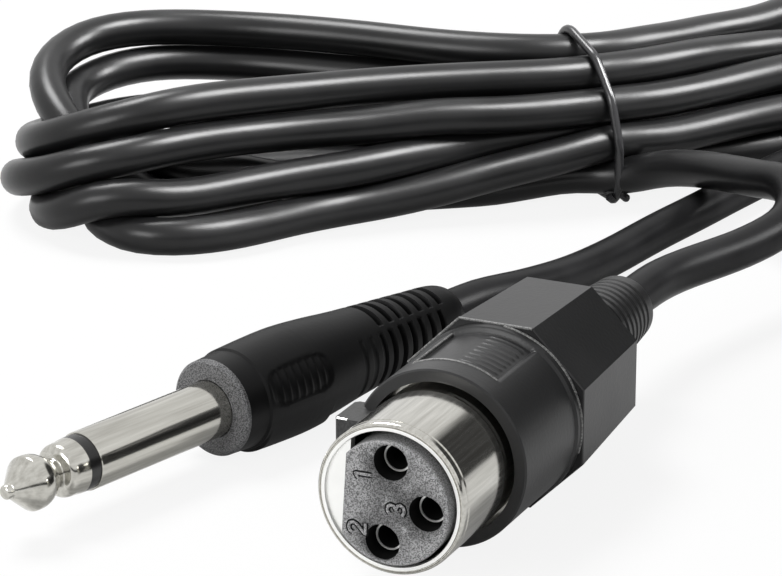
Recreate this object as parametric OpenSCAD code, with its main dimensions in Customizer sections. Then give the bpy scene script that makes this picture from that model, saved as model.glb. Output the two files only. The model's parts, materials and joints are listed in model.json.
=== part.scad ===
// Microphone lead: a three-pole female XLR at one end, a 6.35 mm mono jack plug at the other,
// and the cable between them folded into a tied hank. Millimetres, +Z up.

/* [Cable] */
// Outside diameter of the cable jacket
cable_od = 4.8; // [4.4:0.1:5.2]
// Diameter of the insulated inner conductor
core_od = 1.6; // [1.2:0.1:1.8]
// Diameter of the twisted screen tail
screen_od = 1.2; // [0.8:0.1:1.4]

/* [XLR nose] */
// Outside diameter of the metal nose
nose_od = 15.8; // [15.6:0.1:16]
// Wall of the metal nose
nose_wall = 0.9; // [0.7:0.1:1]
// Length of nose standing out of the housing
nose_out = 11.5; // [10.5:0.5:12]
// Diameter of the contact block at its face
insert_od = 12.5; // [12:0.1:12.8]
// How far the contact block stands in front of the nose rim
insert_proud = 0.9; // [0:0.1:1.2]
// Circle through the three contacts
contact_pcd = 8.5; // [8.3:0.1:8.7]
// Bore of a contact, for a 2.36 mm pin
contact_bore = 2.4; // [2.36:0.02:2.5]
// Turn of the contact block in the nose, degrees
key_roll = 6; // [0:1:8]

/* [XLR latch] */
// Width of the latch button
latch_w = 8; // [7:0.5:8.4]
// How far the latch button stands out of the nose
latch_out = 2.1; // [1.6:0.1:2.3]
// Clearance round the latch button
latch_gap = 0.3; // [0.2:0.05:0.4]

/* [XLR housing] */
// Diameter of the front housing
housing_od = 19; // [18.8:0.1:19.4]
// Width across the flats of the back cap
cap_flats = 19.8; // [19.6:0.1:20.6]
// Length of the front housing
housing_len = 13.9; // [13:0.1:15]
// Length of the eight-sided part of the back cap
cap_len = 21.6; // [20:0.2:24]
// Length of the ribbed neck of the back cap
neck_len = 13; // [11:0.5:15]
// Diameter of the ribbed neck
neck_od = 9.8; // [9.4:0.1:10.2]

/* [Jack plug] */
// Diameter of the plug sleeve
sleeve_od = 6.35; // [6.3:0.01:6.4]
// Length of the plug in front of its collar
plug_out = 30.5; // [30:0.1:31.5]
// Diameter of the textured collar
collar_od = 10.7; // [10.4:0.1:11]
// Diameter of the grip
grip_od = 12; // [11.6:0.1:12.6]
// Length of the grip behind the collar
grip_len = 37.7; // [36:0.1:40]

/* [Hank and tie] */
// Length of the folded hank
hank_len = 214.5; // [200:0.5:230]
// Height of the folded hank
hank_h = 21.5; // [18:0.5:24]
// Diameter of the tie wire
tie_od = 1.2; // [1:0.1:1.6]

/* [Hidden] */
$fn = 48;
cut = 0.2;                          // how far a cutting tool runs past the face it cuts
nose_r = nose_od / 2;
bore_r = nose_r - nose_wall;        // inside of the nose
contact_r = contact_pcd / 2;
contact_turns = [90 + key_roll, 270 + key_roll, 180 + key_roll];
contact_tube_r = 1.65;
contact_clear = 0.1;                // hole in the block in front of a contact
contact_face = 2;                   // contacts sit this far behind the block's face
cup_r = 1.45;                       // solder cup, outside
cup_len = 5;
flange_at = nose_out + 2.5;         // step in the housing that holds the nose
flange_t = 1.5;
nose_room = housing_od / 2 - nose_r; // housing wall and the gap round the nose
flange_r = nose_r + 0.3125 * nose_room; // nose flange, block flange and housing bore
mouth_gap = 0.19 * nose_room;
recess_t = 0.28 * nose_room;        // depth of the thumb recess
nose_plain = nose_out - 4.5;        // the nose is full size up to here
nose_step = 0.05;
block_at = flange_at + flange_t;
block_end = block_at + 3.5;         // back face of the contact block
latch_from = nose_out - 3.3;
latch_to = nose_out + 1.8;
plate_from = latch_from - 1;        // the sliding plate under the button
plate_to = latch_to + 1.3;
plate_half = 2.2;
plate_low = 5.25;
plate_top = 6.3;
latch_travel = latch_out;
spring_t = 0.2;
spring_r = 3.68;
pocket_low = plate_low - latch_travel - spring_t - 0.05;
cap_at = nose_out + housing_len;    // joint between front housing and back cap
spigot_r = flange_r;
spigot_wall = 1.2;
shoulder_at = cap_at + cap_len;
neck_at = shoulder_at + 5.5;
cap_end = neck_at + neck_len;
cable_r = cable_od / 2;
cone_at = cap_at + cap_len * 2 / 3; // cone inside the cap that squeezes the chuck
cone_end = cone_at + cap_len / 2;
cone_r = cable_r + 1;
chuck_front = cone_at - cap_len / 3;
chuck_len = cone_end - chuck_front;
jacket_at = cone_at - 4;            // the jacket is stripped back to here
screen_r = screen_od / 2;
core_r = core_od / 2;

sleeve_r = sleeve_od / 2;
sleeve_neck = sleeve_r - 0.25;      // the sleeve is thinner inside its collar
sleeve_at = 11;
ring_at = 9.6;
ring_r = sleeve_r - 0.175;           // insulating ring, a little under the sleeve
rod_r = 1.2;
tube_r = 1.8;                       // insulating tube round the rod
knurl_r = 4;
knurl_at = plug_out + 1.5;
knurl_end = knurl_at + 5;
rim_r = 3.4;                        // back rim of the sleeve, inside the clamp's ring
sleeve_end = knurl_end + 1;
lug_at = sleeve_end + 1.2;
lug_t = 0.6;
collar_len = 3.8;
grip_at = plug_out + collar_len;
core_tube_r = 5;
core_end = grip_at + grip_len / 5;
cavity_r = 4.3;
claw_at = core_end + grip_len / 5;
claw_end = claw_at + 2.5;
plug_jacket = claw_at - 0.5;
plug_end = grip_at + grip_len;
slot_floor = cable_r + 0.45;
wire_gap = 0.05;                    // between a stripped wire's drawn end and the jacket
// Outline of the grip behind the core: share of its length, share of the wall taken off
grip_taper = [[0.2, 0], [0.36, 0.11], [0.52, 0.32], [0.655, 0.435], [0.79, 0.515],
    [0.895, 0.655], [0.99, 0.75], [1, 0.83]];

xlr_at = [15.9, -29.6, cap_flats / 2];
plug_at = [-23.9, -36.2, grip_od / 2];
plug_turn = -15;                    // turn of the plug about Z, away from the XLR's axis
hank_at = [-68.7, 36.2];
hank_turn = 49;
tie_along = 82;
tie_bend = 4;
waist = [tie_along, 1.8];
waist_r = 11;
fold_r = 22;                        // half the width of the hank at its folds
fold_mid = 17.3;
fold_from = 5.6;
tie_half = [waist_r - tie_bend, hank_h / 2 - tie_bend];  // to its corners' centres
tail_len = 5;                       // the twisted ends of the tie
tail_r = 0.38 * tie_od;
tie_slot = 2 * tail_r + tie_od + 0.4; // room that the tie's twisted ends take along the hank

// Route of the XLR end of the cable, after its straight part inside the connector
xlr_route = [[16.6, 45.3, 9.6], [20.3, 59, 9.1], [22.3, 67.7, 9.6], [21.5, 74.2, 10.6],
    [18.3, 79.8, 10.7], [12.8, 84.7, 9.3], [2.3, 91.2, 7.3], [-6, 95.1, 4.9],
    [-13.4, 95.4, 3.8], [-20.2, 92.1, 3.2]];
// Route of the plug end of the cable
plug_route = [[-4.3, 38.4, 5.8], [-3.3, 46.4, 4.7], [-2.5, 56.4, 3.4], [-1.7, 67.4, 2.5],
    [-0.1, 78.4, 2.4], [2.1, 89.4, 2.4], [4.4, 100.4, 2.4], [7.3, 112, 2.4], [12.2, 126.3, 2.4]];

// ---- placing ----
// Each connector is built with +Z running back from its front, +Y up and +X to the latch side.
module at_xlr() translate(xlr_at) rotate([90, 0, 180]) children();
module at_plug() translate(plug_at) rotate([0, 0, plug_turn]) rotate([90, 0, 180]) children();
module at_hank() translate([hank_at[0], hank_at[1], 0]) rotate([0, 0, hank_turn]) children();
module at_contact(i) rotate([0, 0, contact_turns[i]]) translate([contact_r, 0, 0]) children();

function on_xlr(p) = xlr_at + [-p[0], p[2], p[1]];
function on_plug(p) = plug_at + [-p[0] * cos(plug_turn) - p[2] * sin(plug_turn),
    p[2] * cos(plug_turn) - p[0] * sin(plug_turn), p[1]];
function on_hank(along, across, up) = [
    hank_at[0] + along * cos(hank_turn) - across * sin(hank_turn),
    hank_at[1] + along * sin(hank_turn) + across * cos(hank_turn), up];

// ---- round cords ----
function spline(a, b, c, d, t) = 0.5 * (2 * b + (c - a) * t + (2 * a - 5 * b + 4 * c - d) * t * t
    + (3 * b - a - 3 * c + d) * t * t * t);
function smooth(p, steps) = [
    for (i = [0 : len(p) - 2]) for (j = [0 : steps - 1])
        spline(p[max(i - 1, 0)], p[i], p[i + 1], p[min(i + 2, len(p) - 1)], j / steps),
    p[len(p) - 1]];
function unit(v) = v / norm(v);
function ring(p, t, side, r, sides) = let (u = unit(cross(t, side)), v = cross(u, t))
    [for (k = [0 : sides - 1]) p + r * (u * cos(360 * k / sides) + v * sin(360 * k / sides))];

// A tube along the points; side is a direction that no stretch of it runs along
module cord(p, r, side = [0, 0, 1], sides = 10, closed = false) {
    n = len(p);
    points = [for (i = [0 : n - 1])
        let (before = closed ? p[(i + n - 1) % n] : p[max(i - 1, 0)],
             after = closed ? p[(i + 1) % n] : p[min(i + 1, n - 1)])
        each ring(p[i], unit(after - before), side, r, sides)];
    walls = [for (i = [0 : closed ? n - 1 : n - 2]) for (k = [0 : sides - 1])
        let (a = i * sides, b = ((i + 1) % n) * sides, m = (k + 1) % sides)
        [a + k, b + k, b + m, a + m]];
    ends = closed ? [] : [[for (k = [0 : sides - 1]) k],
        [for (k = [sides - 1 : -1 : 0]) (n - 1) * sides + k]];
    polyhedron(points = points, faces = concat(walls, ends), convexity = 8);
}

// ---- XLR connector ----
module xlr_shell() color([0.75, 0.75, 0.73]) at_xlr() difference() {
    rotate_extrude() polygon([
        [bore_r, 0.5], [bore_r + 0.15, 0.12], [bore_r + 0.35, 0], [nose_r - 0.25, 0],
        [nose_r, 0.25], [nose_r, 0.9], [nose_r - 0.12, 1], [nose_r - 0.12, 1.15],
        [nose_r, 1.25], [nose_r, nose_plain], [nose_r - nose_step, nose_plain + 0.6],
        [nose_r - nose_step, nose_out - 1.5], [nose_r - 0.12, nose_out - 1.3],
        [nose_r - 0.12, flange_at], [flange_r, flange_at], [flange_r, block_at],
        [bore_r, block_at]]);
    translate([0, -latch_w / 2 - latch_gap, latch_from - latch_gap])
        cube([nose_od, latch_w + 2 * latch_gap, flange_at - latch_from + latch_gap]);
}

module xlr_insert() color([0.2, 0.2, 0.2]) at_xlr() difference() {
    rotate_extrude() polygon([
        [0, -insert_proud], [insert_od / 2 - 0.2, -insert_proud],
        [insert_od / 2, 0.2 - insert_proud], [insert_od / 2, block_at - 0.3],
        [bore_r, block_at - 0.3], [bore_r, block_at], [flange_r, block_at],
        [flange_r, block_end], [0, block_end]]);
    rotate([0, 0, key_roll])
        translate([insert_od / 2 - 1.15, -insert_od, -insert_proud - cut])
        cube([insert_od, 2 * insert_od, block_at - 0.5 + insert_proud + cut]);
    translate([pocket_low, -plate_half - latch_gap, plate_from - latch_gap])
        cube([insert_od, 2 * (plate_half + latch_gap), plate_to - plate_from + 2 * latch_gap]);
    translate([plate_top - latch_travel - latch_gap + 0.1, -latch_w / 2 - latch_gap,
        latch_from - latch_gap])
        cube([insert_od, latch_w + 2 * latch_gap, latch_to - latch_from + 2 * latch_gap]);
    for (i = [0 : 2]) at_contact(i) {
        translate([0, 0, -insert_proud - cut])
            cylinder(r = contact_tube_r + contact_clear, h = contact_face + cut);
        translate([0, 0, contact_face - insert_proud - cut])
            cylinder(r = contact_tube_r, h = block_end);
    }
}

module contact(i) color([0.85, 0.75, 0.45]) at_xlr() at_contact(i) rotate_extrude()
    polygon([
        [contact_bore / 2, contact_face - insert_proud + 0.4],
        [contact_bore / 2 + 0.3, contact_face - insert_proud],
        [contact_tube_r, contact_face - insert_proud], [contact_tube_r, block_end],
        [cup_r, block_end], [cup_r, block_end + cup_len], [0.9, block_end + cup_len],
        [0.9, block_end + 1.5], [0, block_end + 1.5], [0, block_at - 1],
        [contact_bore / 2, block_at - 1]]);

module xlr_contact_1() contact(0);
module xlr_contact_2() contact(1);
module xlr_contact_3() contact(2);

module ground_jumper() color([0.8, 0.78, 0.7]) at_xlr() translate([0, 0, block_end])
    linear_extrude(0.6) difference() {
        union() {
            at_contact(0) circle(r = cup_r + 0.7);
            at_contact(2) circle(r = cup_r + 0.7);
            rotate(contact_turns[0] + 45) translate([contact_r * cos(45), 0])
                square([1.4, contact_pcd * sin(45)], center = true);
        }
        at_contact(0) circle(r = cup_r);
        at_contact(2) circle(r = cup_r);
    }

module latch_button() color([0.08, 0.08, 0.08]) at_xlr() union() {
    translate([0, latch_w / 2, 0]) rotate([90, 0, 0]) linear_extrude(latch_w)
        polygon([
            [plate_top, latch_from], [nose_r + latch_out - 0.3, latch_from],
            [nose_r + latch_out, latch_from + 0.3], [nose_r + latch_out, latch_to - 0.4],
            [nose_r + latch_out - 0.4, latch_to], [plate_top, latch_to]]);
    translate([plate_low, -plate_half, plate_from])
        cube([plate_top - plate_low, 2 * plate_half, plate_to - plate_from]);
}

// A bowed strip of spring steel between the contact block and the button
module latch_spring() color([0.8, 0.8, 0.8]) at_xlr()
    translate([0, plate_half - 0.2, (plate_from + plate_to) / 2]) rotate([90, 0, 0])
    linear_extrude(2 * plate_half - 0.4) intersection() {
        translate([plate_low - spring_r, 0]) difference() {
            circle(r = spring_r);
            circle(r = spring_r - spring_t);
        }
        translate([pocket_low, -spring_r]) square([spring_r, 2 * spring_r]);
    }

module front_housing() color([0.12, 0.12, 0.12]) at_xlr() difference() {
    rotate_extrude() polygon([
        [nose_r + mouth_gap, nose_out], [housing_od / 2 - 0.3, nose_out],
        [housing_od / 2, nose_out + 0.3], [housing_od / 2 + 0.05, cap_at - 1.2],
        [housing_od / 2 + 0.3, cap_at - 0.8], [housing_od / 2 + 0.3, cap_at],
        [flange_r, cap_at], [flange_r, flange_at], [nose_r + mouth_gap, flange_at]]);
    translate([0, -latch_w / 2 - latch_gap, nose_out - cut])
        cube([housing_od, latch_w + 2 * latch_gap, latch_to + latch_gap - nose_out + cut]);
    thumb_recess();
}

// Shallow recess over the top of the front housing, with fine ribs in its back half
module thumb_recess() difference() {
    rotate([0, 0, 63]) rotate_extrude(angle = 60) polygon([
        [housing_od / 2 - recess_t, nose_out + 3], [housing_od, nose_out + 3],
        [housing_od, cap_at - 1.9], [housing_od / 2 - recess_t, cap_at - 1.9]]);
    for (i = [0 : 6]) translate([0, 0, nose_out + 6 + 0.8 * i]) difference() {
        cylinder(r = housing_od / 2 - recess_t / 3, h = 0.4);
        translate([0, 0, -cut]) cylinder(r = housing_od / 2 - 1.5 * recess_t, h = 1);
    }
}

module back_cap() color([0.12, 0.12, 0.12]) at_xlr() difference() {
    union() {
        translate([0, 0, block_end]) cylinder(r = spigot_r, h = cap_at - block_end + cut);
        rotate([0, 0, 22.5]) {
            translate([0, 0, cap_at]) cylinder(r1 = cap_flats / 2 / cos(22.5),
                r2 = (cap_flats / 2 - 1.15) / cos(22.5), h = cap_len, $fn = 8);
            translate([0, 0, shoulder_at]) cylinder(r1 = (cap_flats / 2 - 1.15) / cos(22.5),
                r2 = neck_od / 2 / cos(22.5), h = neck_at - shoulder_at, $fn = 8);
        }
        neck();
    }
    rotate_extrude() polygon([
        [0, block_end - cut], [spigot_r - spigot_wall, block_end - cut],
        [spigot_r - spigot_wall, cone_at], [cone_r, cone_end], [cable_r + 0.1, cone_end],
        [cable_r + 0.1, cap_end - 0.8], [cable_r + 0.6, cap_end + cut], [0, cap_end + cut]]);
}

// Neck with fine rings round it
module neck() difference() {
    translate([0, 0, neck_at - cut])
        cylinder(r1 = neck_od / 2, r2 = neck_od / 2 - 0.5, h = neck_len + cut);
    for (i = [0 : 6]) translate([0, 0, neck_at + 0.8 + 1.4 * i]) difference() {
        cylinder(r = neck_od, h = 0.6);
        translate([0, 0, -cut]) cylinder(r = neck_od / 2 - 0.7, h = 1);
    }
}

module cable_chuck() color([0.85, 0.85, 0.8]) at_xlr() difference() {
    rotate_extrude() polygon([
        [cable_r, chuck_front], [0.75 * (spigot_r - spigot_wall), chuck_front],
        [0.9 * (spigot_r - spigot_wall) + 0.1 * cone_r, 0.9 * cone_at + 0.1 * cone_end],
        [cone_r, cone_end], [cable_r, cone_end]]);
    for (turn = [0, 90]) rotate([0, 0, turn])
        translate([-flange_r, -cable_r / 5, chuck_front - cut])
        cube([2 * flange_r, 0.4 * cable_r, 0.7 * chuck_len]);
}

module hot_wire_xlr() color([0.7, 0.1, 0.1]) {
    x = contact_r * cos(contact_turns[1]);
    y = contact_r * sin(contact_turns[1]);
    cord([for (p = smooth([[0, -1, jacket_at - wire_gap], [0, -1, jacket_at - 3],
        [x * 0.6, y * 0.6, jacket_at - 7.5], [x, y, block_end + 5.4],
        [x, y, block_end + 3.5], [x, y, block_end + 1.6]], 3)) on_xlr(p)], core_r, [1, 0, 0], 8);
}

module screen_tail_xlr() color([0.75, 0.45, 0.25]) {
    x = contact_r * cos(contact_turns[0]);
    y = contact_r * sin(contact_turns[0]);
    cord([for (p = smooth([[0, 1.2, jacket_at - wire_gap], [0, 1.2, jacket_at - 3],
        [x * 0.6, y * 0.6, jacket_at - 7.5], [x, y, block_end + 5.4],
        [x, y, block_end + 3.5], [x, y, block_end + 1.6]], 3)) on_xlr(p)], screen_r, [1, 0, 0], 8);
}

// ---- jack plug ----
module plug_tip() color([0.8, 0.8, 0.78]) at_plug() rotate_extrude() polygon([
    [0, 0], [0.7, 0.05], [0.9, 0.4], [1.3, 0.9], [2.5, 2.3], [2.85, 3.2], [2.9, 3.6],
    [2.9, 4.3], [2.77, 5], [2.25, 6.2], [1.6, 6.8], [1.6, 6.95], [2.75, 7.2], [2.9, 7.6],
    [2.9, 8.6], [ring_r, ring_at], [rod_r, ring_at], [rod_r, lug_at + 1.4],
    [0, lug_at + 1.4]]);

module tip_insulator() color([0.1, 0.1, 0.1]) at_plug() rotate_extrude() polygon([
    [rod_r, ring_at], [ring_r, ring_at], [ring_r, sleeve_at],
    [tube_r, sleeve_at], [tube_r, sleeve_end], [rod_r, sleeve_end]]);

module plug_sleeve() color([0.8, 0.8, 0.78]) at_plug() rotate_extrude() polygon([
    [tube_r, sleeve_at], [sleeve_r, sleeve_at], [sleeve_r, plug_out - 0.1],
    [sleeve_neck, plug_out + 0.15], [sleeve_neck, knurl_at], [knurl_r, knurl_at],
    [knurl_r, knurl_end], [rim_r, knurl_end], [rim_r, sleeve_end], [tube_r, sleeve_end]]);

module back_insulator() color([0.7, 0.5, 0.3]) at_plug() translate([0, 0, sleeve_end])
    difference() {
        cylinder(r = rim_r, h = lug_at - sleeve_end);
        translate([0, 0, -cut]) cylinder(r = rod_r, h = lug_at);
    }

module tip_lug() color([0.8, 0.78, 0.7]) at_plug() translate([0, 0, lug_at])
    linear_extrude(lug_t) difference() {
        union() {
            circle(r = 2.4);
            translate([-1, 0]) square([2, 3.9]);
        }
        circle(r = rod_r);
    }

module ground_clamp() color([0.8, 0.78, 0.7]) at_plug() union() {
    translate([0, 0, knurl_end]) difference() {
        cylinder(r = knurl_r, h = 0.8);
        translate([0, 0, -cut]) cylinder(r = rim_r, h = 2);
    }
    translate([-1.2, -4, knurl_end]) cube([2.4, 0.5, claw_end - knurl_end]);
    translate([0, 0, claw_at]) difference() {
        union() {
            cylinder(r = cable_r + 0.5, h = claw_end - claw_at);
            translate([-0.8, -3.8, 0]) cube([1.6, 1.2, claw_end - claw_at]);
        }
        translate([0, 0, -cut]) cylinder(r = cable_r, h = 5);
        translate([-1, 0, -cut]) cube([2, 5, 5]);
    }
}

module plug_core() color([0.15, 0.15, 0.15]) at_plug() rotate_extrude() polygon([
    [sleeve_r + 0.25, plug_out], [collar_od / 2 - 0.3, plug_out],
    [collar_od / 2, plug_out + 0.3], [collar_od / 2, grip_at], [core_tube_r, grip_at],
    [core_tube_r, core_end], [cavity_r, core_end], [cavity_r, knurl_end],
    [knurl_r, knurl_end], [knurl_r, knurl_at], [sleeve_neck, knurl_at],
    [sleeve_neck, plug_out + 0.8], [sleeve_r + 0.25, plug_out + 0.8]]);

module plug_grip() color([0.1, 0.1, 0.1]) at_plug() difference() {
    rotate_extrude() polygon(concat(
        [[core_tube_r, grip_at], [grip_od / 2 - 0.3, grip_at], [grip_od / 2, grip_at + 0.4]],
        [for (t = grip_taper)
            [grip_od / 2 - t[1] * (grip_od / 2 - cable_r), grip_at + t[0] * grip_len]],
        [[cable_r + 0.05, plug_end], [cable_r + 0.05, claw_end + 5],
        [cavity_r, claw_end + 0.3], [cavity_r, core_end], [core_tube_r, core_end]]));
    finger_dimple();
    for (i = [0 : 5]) translate([0, 0, grip_at + (0.54 + 0.064 * i) * grip_len])
        rotate([0, 0, 45 + 90 * i]) relief_slots();
}

// Two opposite quarter slots of the moulded strain relief
module relief_slots() linear_extrude(1.2) difference() {
    for (turn = [0, 180]) rotate(turn) square([grip_od, grip_od]);
    circle(r = slot_floor);
}

// Oval dimple in the side of the grip, with ribs across it
module finger_dimple() difference() {
    rotate([0, 0, 155]) translate([0, 0, grip_at + 8.2]) rotate([0, 90, 0])
        scale([4.6, 3.4, 1]) cylinder(r = 1, h = grip_od);
    cylinder(r = grip_od / 2 - 0.6, h = plug_end);
    for (i = [0 : 3]) translate([0, 0, grip_at + 5.4 + 1.7 * i])
        cylinder(r = grip_od / 2 - 0.25, h = 0.7);
}

module hot_wire_plug() color([0.7, 0.1, 0.1])
    cord([for (p = smooth([[0, 1, plug_jacket - 2 * wire_gap], [0, 1.3, plug_jacket - 2],
        [0, 2.8, plug_jacket - 5.5], [0, 3, lug_at + lug_t]], 4)) on_plug(p)],
        core_r, [1, 0, 0], 8);

module screen_tail_plug() color([0.75, 0.45, 0.25])
    cord([for (p = smooth([[0, -1.2, plug_jacket - 2 * wire_gap], [0, -1.5, plug_jacket - 2],
        [0, -2.7, plug_jacket - 4.5], [0, -3.5 + screen_r, plug_jacket - 7]], 4)) on_plug(p)],
        screen_r, [1, 0, 0], 8);

// ---- cable and tie ----
module cable_hank() color([0.1, 0.1, 0.1]) at_hank() difference() {
    linear_extrude(hank_h) union() {
        hull() {
            translate([fold_from + fold_r, fold_mid]) circle(r = fold_r);
            translate(waist) circle(r = waist_r);
        }
        hull() {
            translate([hank_len - fold_r, fold_mid]) circle(r = fold_r);
            translate(waist) circle(r = waist_r);
        }
    }
    translate([tie_along, 0, 0]) difference() {
        translate([-tie_slot / 2, -fold_r, -cut])
            cube([tie_slot, 4 * fold_r, hank_h + 2 * cut]);
        translate([-tie_slot, waist[1], hank_h / 2]) rotate([90, 0, 90])
            linear_extrude(2 * tie_slot) tied_shape();
    }
}

// Cross-section of the hank inside the tie
module tied_shape() {
    square([2 * tie_half[0], 2 * (tie_half[1] + tie_bend - tie_od)], center = true);
    square([2 * (tie_half[0] + tie_bend - tie_od), 2 * tie_half[1]], center = true);
    for (x = [-1, 1], y = [-1, 1]) translate([x * tie_half[0], y * tie_half[1]])
        circle(r = tie_bend - tie_od);
}

module wire_tie() color([0.12, 0.12, 0.12]) at_hank() translate([tie_along, 0, 0]) union() {
    translate([0, waist[1], hank_h / 2]) rotate([90, 0, 90]) for (turn = [0 : 3])
        rotate([0, 0, 90 * turn]) {
            side = turn % 2;
            translate([tie_half[side], tie_half[1 - side], 0]) rotate_extrude(angle = 90)
                translate([tie_bend - tie_od / 2, 0]) circle(d = tie_od, $fn = 16);
            translate([tie_half[side] + tie_bend - tie_od / 2, 0, 0]) rotate([90, 0, 0])
                cylinder(d = tie_od, h = 2 * tie_half[1 - side], center = true, $fn = 16);
        }
    translate([0, waist[1] - waist_r + tie_od, tie_bend]) rotate([90, 0, 0])
        linear_extrude(tail_len, twist = 360, slices = 24)
        for (side = [-1, 1]) translate([side * tail_r, 0]) circle(d = tie_od, $fn = 12);
}

module xlr_lead() color([0.1, 0.1, 0.1]) cord(smooth(concat(
    [on_xlr([0, 0, jacket_at]), on_xlr([0, 0, cone_end]), on_xlr([0, 0, cap_end])],
    xlr_route), 4), cable_r);

module plug_lead() color([0.1, 0.1, 0.1]) cord(smooth(concat(
    [on_plug([0, 0, plug_jacket]), on_plug([0, 0, claw_end]), on_plug([0, 0, plug_end])],
    plug_route), 4), cable_r);

xlr_shell();
xlr_insert();
xlr_contact_1();
xlr_contact_2();
xlr_contact_3();
ground_jumper();
latch_button();
latch_spring();
front_housing();
back_cap();
cable_chuck();
hot_wire_xlr();
screen_tail_xlr();
plug_tip();
tip_insulator();
plug_sleeve();
back_insulator();
tip_lug();
ground_clamp();
plug_core();
plug_grip();
hot_wire_plug();
screen_tail_plug();
cable_hank();
xlr_lead();
plug_lead();
wire_tie();
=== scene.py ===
"""A microphone lead on a pale surface: XLR connector, jack plug and the cable between them."""
import json
import math

import bpy
import numpy as np
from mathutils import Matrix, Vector
from mathutils.geometry import delaunay_2d_cdt


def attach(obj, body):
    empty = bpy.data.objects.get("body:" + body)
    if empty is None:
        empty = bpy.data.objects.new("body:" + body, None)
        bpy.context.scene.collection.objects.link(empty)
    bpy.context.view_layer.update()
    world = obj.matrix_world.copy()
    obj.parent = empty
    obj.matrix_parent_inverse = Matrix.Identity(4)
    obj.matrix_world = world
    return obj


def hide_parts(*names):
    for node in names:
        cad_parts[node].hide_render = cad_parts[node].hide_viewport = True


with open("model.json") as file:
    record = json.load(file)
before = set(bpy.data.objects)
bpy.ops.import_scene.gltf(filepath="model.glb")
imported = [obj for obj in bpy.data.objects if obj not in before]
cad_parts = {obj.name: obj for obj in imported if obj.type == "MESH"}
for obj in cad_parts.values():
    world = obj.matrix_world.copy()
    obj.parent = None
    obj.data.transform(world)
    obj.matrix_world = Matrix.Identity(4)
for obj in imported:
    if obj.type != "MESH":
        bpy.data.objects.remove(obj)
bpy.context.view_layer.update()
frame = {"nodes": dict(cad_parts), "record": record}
MM = 0.001

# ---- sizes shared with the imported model, in mm ----
CABLE_R = 2.4
XLR_AT = np.array([15.9, -29.6, 9.9])       # middle of the nose's rim
PLUG_AT = np.array([-23.9, -36.2, 6.0])     # point of the plug's tip
PLUG_TURN = math.radians(-15)
HANK_AT = np.array([-68.7, 36.2])           # where the hank's own axes start
HANK_TURN = math.radians(49)


def on_xlr(p):
    """Points (x to the latch, y up, s back from the nose's rim) as row points."""
    p = np.atleast_2d(np.asarray(p, float))
    return XLR_AT + np.c_[-p[:, 0], p[:, 2], p[:, 1]]


def on_plug(p):
    """Points (x, y up, s back from the plug's tip) as row points."""
    p = np.atleast_2d(np.asarray(p, float))
    c, s = math.cos(PLUG_TURN), math.sin(PLUG_TURN)
    return PLUG_AT + np.c_[-p[:, 0] * c - p[:, 2] * s, p[:, 2] * c - p[:, 0] * s, p[:, 1]]


def on_hank(p):
    """Points (along, across, up) of the hank as row points."""
    p = np.atleast_2d(np.asarray(p, float))
    c, s = math.cos(HANK_TURN), math.sin(HANK_TURN)
    return np.c_[HANK_AT[0] + p[:, 0] * c - p[:, 1] * s, HANK_AT[1] + p[:, 0] * s + p[:, 1] * c, p[:, 2]]


def to_hank(p):
    """Row points as points (along, across, up) of the hank."""
    p = np.atleast_2d(np.asarray(p, float))
    c, s = math.cos(HANK_TURN), math.sin(HANK_TURN)
    d = p[:, :2] - HANK_AT
    return np.c_[d[:, 0] * c + d[:, 1] * s, -d[:, 0] * s + d[:, 1] * c, p[:, 2]]


# ---- camera ----
CAMERA_AT = (0.15258, -0.32106, 0.14529)    # m
CAMERA_HEADING = math.radians(115.11)       # from +X, seen from above
CAMERA_DOWN = math.radians(19.43)
LENS, SENSOR = 165, 36


def make_camera():
    data = bpy.data.cameras.new("camera")
    data.lens = LENS
    data.sensor_width = SENSOR
    data.clip_start = 0.01
    data.clip_end = 20
    cam = bpy.data.objects.new("camera", data)
    bpy.context.scene.collection.objects.link(cam)
    cam.location = CAMERA_AT
    level, drop = math.cos(CAMERA_DOWN), math.sin(CAMERA_DOWN)
    look = Vector((math.cos(CAMERA_HEADING) * level, math.sin(CAMERA_HEADING) * level, -drop))
    cam.rotation_euler = look.to_track_quat("-Z", "Y").to_euler()
    bpy.context.scene.camera = cam


make_camera()


# ---- the cable's line ----
# The stretch inside each connector, back from the tip or the rim, and the route between it and the hank
PLUG_ENTRY, XLR_ENTRY = (52, 60, 72), (65.5, 51, 36)
XLR_ROUTE = [[16.6, 45.3, 9.6], [20.3, 59, 9.1], [22.3, 67.7, 9.6], [21.5, 74.2, 10.6],
             [18.3, 79.8, 10.7], [12.8, 84.7, 9.3], [2.3, 91.2, 7.3], [-6, 95.1, 4.9],
             [-13.4, 95.4, 3.8]]
PLUG_ROUTE = [[-4.0, 38.4, 5.8], [-2.1, 46.4, 4.7], [-0.6, 56.4, 3.4], [0.4, 67.4, 2.5],
              [1.8, 78.4, 2.4], [3.7, 89.4, 2.4], [5.5, 100.4, 2.4], [7.8, 112, 2.4],
              [12.2, 126.3, 2.4]]
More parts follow.
